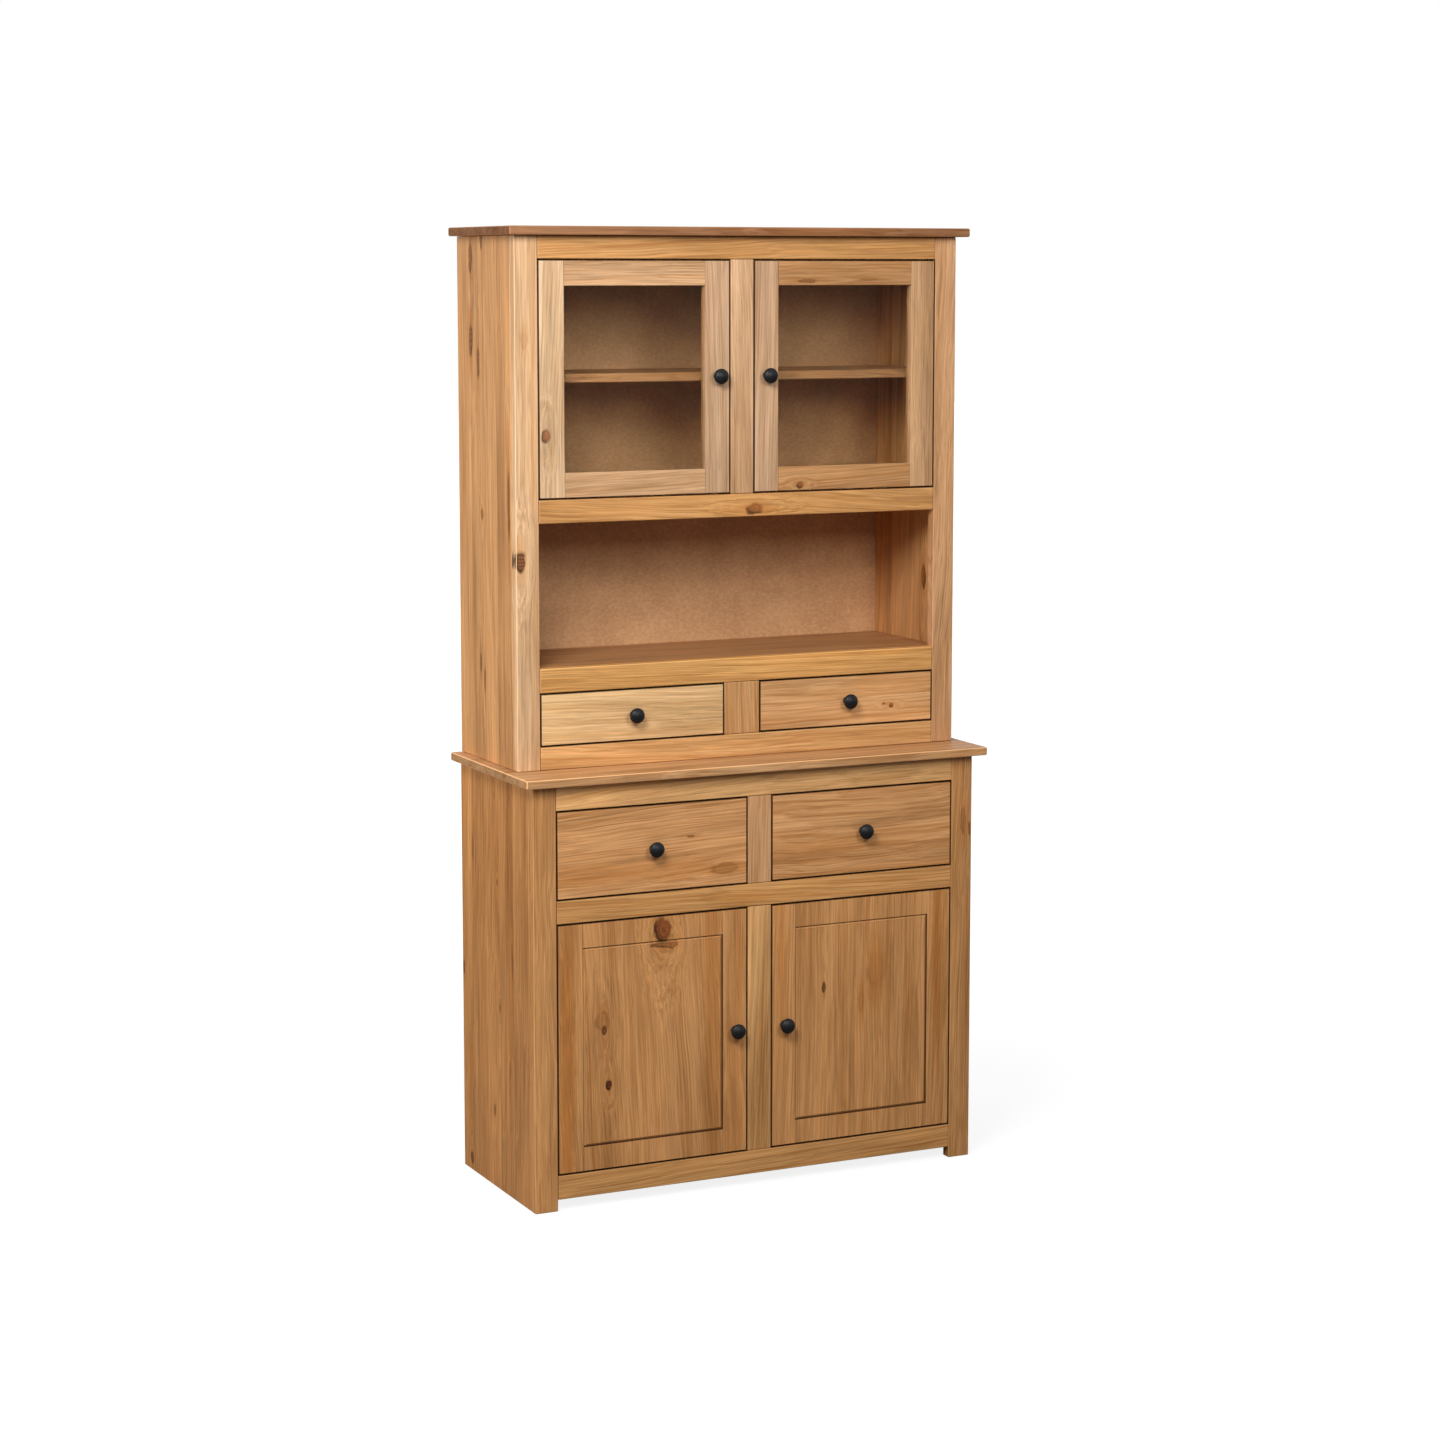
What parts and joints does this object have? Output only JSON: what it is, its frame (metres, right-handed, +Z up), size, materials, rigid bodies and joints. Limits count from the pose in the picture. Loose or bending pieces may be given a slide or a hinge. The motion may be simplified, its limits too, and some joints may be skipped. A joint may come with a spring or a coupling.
{
  "type": "sideboard",
  "caption": "Pine hutch sideboard: glazed cupboard, open display bay and small drawers above a base of wide drawers and panelled doors.",
  "frame": {"origin": "on the floor, midway between the ends of the base top board and midway between the knob fronts and the back", "axes": "+Z up along the height, +Y towards the back along the depth, +X to the right as seen from the front"},
  "size_m": [0.93, 0.379, 1.753],
  "materials": {
    "pine_frame": "waxed pine, satin",
    "pine_door": "waxed pine, satin",
    "pine_side": "waxed pine, satin",
    "pine_top": "waxed pine, satin",
    "pine_inner": "waxed pine, matt",
    "back_board": "fibreboard, matt",
    "pane": "clear",
    "knob_black": "black satin",
    "catch_black": "matt",
    "steel": "zinc plated"
  },
  "bodies": {
    "cabinet": {"base_top_board": "pine_top", "base_left_side_panel": "pine_side", "base_right_side_panel": "pine_side", "base_left_front_stile": "pine_frame", "base_right_front_stile": "pine_frame", "base_top_rail": "pine_frame", "base_mid_rail": "pine_frame", "base_bottom_rail": "pine_frame", "base_door_centre_stile": "pine_frame", "base_drawer_centre_stile": "pine_frame", "base_floor_board": "pine_inner", "base_inner_shelf": "pine_inner", "base_drawer_board": "pine_inner", "base_back_panel": "back_board", "base_door_catch": "catch_black", "hutch_top_board": "pine_top", "hutch_left_side_panel": "pine_side", "hutch_right_side_panel": "pine_side", "hutch_left_front_stile": "pine_frame", "hutch_right_front_stile": "pine_frame", "hutch_top_rail": "pine_frame", "hutch_mid_rail": "pine_frame", "hutch_shelf_rail": "pine_frame", "hutch_bottom_rail": "pine_frame", "hutch_door_centre_stile": "pine_frame", "hutch_drawer_centre_stile": "pine_frame", "hutch_cupboard_floor": "pine_inner", "hutch_bay_floor": "pine_inner", "hutch_glazed_shelf": "pine_inner", "hutch_drawer_board": "pine_inner", "hutch_back_panel": "back_board", "glazed_door_catch": "catch_black"},
    "base_left_door": {"base_left_door_frame": "pine_door", "base_left_door_panel": "pine_door", "base_left_door_knob": "knob_black", "base_left_door_strike": "steel"},
    "base_right_door": {"base_right_door_frame": "pine_door", "base_right_door_panel": "pine_door", "base_right_door_knob": "knob_black", "base_right_door_strike": "steel"},
    "glazed_left_door": {"glazed_left_door_frame": "pine_door", "glazed_left_door_glass": "pane", "glazed_left_door_knob": "knob_black", "glazed_left_door_strike": "steel"},
    "glazed_right_door": {"glazed_right_door_frame": "pine_door", "glazed_right_door_glass": "pane", "glazed_right_door_knob": "knob_black", "glazed_right_door_strike": "steel"},
    "base_left_drawer": {"base_left_drawer_front": "pine_door", "base_left_drawer_box": "pine_inner", "base_left_drawer_knob": "knob_black"},
    "base_right_drawer": {"base_right_drawer_front": "pine_door", "base_right_drawer_box": "pine_inner", "base_right_drawer_knob": "knob_black"},
    "hutch_left_drawer": {"hutch_left_drawer_front": "pine_door", "hutch_left_drawer_box": "pine_inner", "hutch_left_drawer_knob": "knob_black"},
    "hutch_right_drawer": {"hutch_right_drawer_front": "pine_door", "hutch_right_drawer_box": "pine_inner", "hutch_right_drawer_knob": "knob_black"}
  },
  "joints": [
    {"name": "base_left_door_hinge", "type": "hinge", "parent": "cabinet", "child": "base_left_door", "pos_m": [-0.3895, -0.1585, 0.294], "axis": [0, 0, -1], "range_deg": [0, 110]},
    {"name": "base_right_door_hinge", "type": "hinge", "parent": "cabinet", "child": "base_right_door", "pos_m": [0.3895, -0.1585, 0.294], "axis": [0, 0, 1], "range_deg": [0, 110]},
    {"name": "glazed_left_door_hinge", "type": "hinge", "parent": "cabinet", "child": "glazed_left_door", "pos_m": [-0.3875, -0.084, 1.484], "axis": [0, 0, -1], "range_deg": [0, 110]},
    {"name": "glazed_right_door_hinge", "type": "hinge", "parent": "cabinet", "child": "glazed_right_door", "pos_m": [0.3875, -0.084, 1.484], "axis": [0, 0, 1], "range_deg": [0, 110]},
    {"name": "base_left_drawer_slide", "type": "slide", "parent": "cabinet", "child": "base_left_drawer", "axis": [0, -1, 0], "range_m": [0, 0.24]},
    {"name": "base_right_drawer_slide", "type": "slide", "parent": "cabinet", "child": "base_right_drawer", "axis": [0, -1, 0], "range_m": [0, 0.24]},
    {"name": "hutch_left_drawer_slide", "type": "slide", "parent": "cabinet", "child": "hutch_left_drawer", "axis": [0, -1, 0], "range_m": [0, 0.18]},
    {"name": "hutch_right_drawer_slide", "type": "slide", "parent": "cabinet", "child": "hutch_right_drawer", "axis": [0, -1, 0], "range_m": [0, 0.18]}
  ]
}
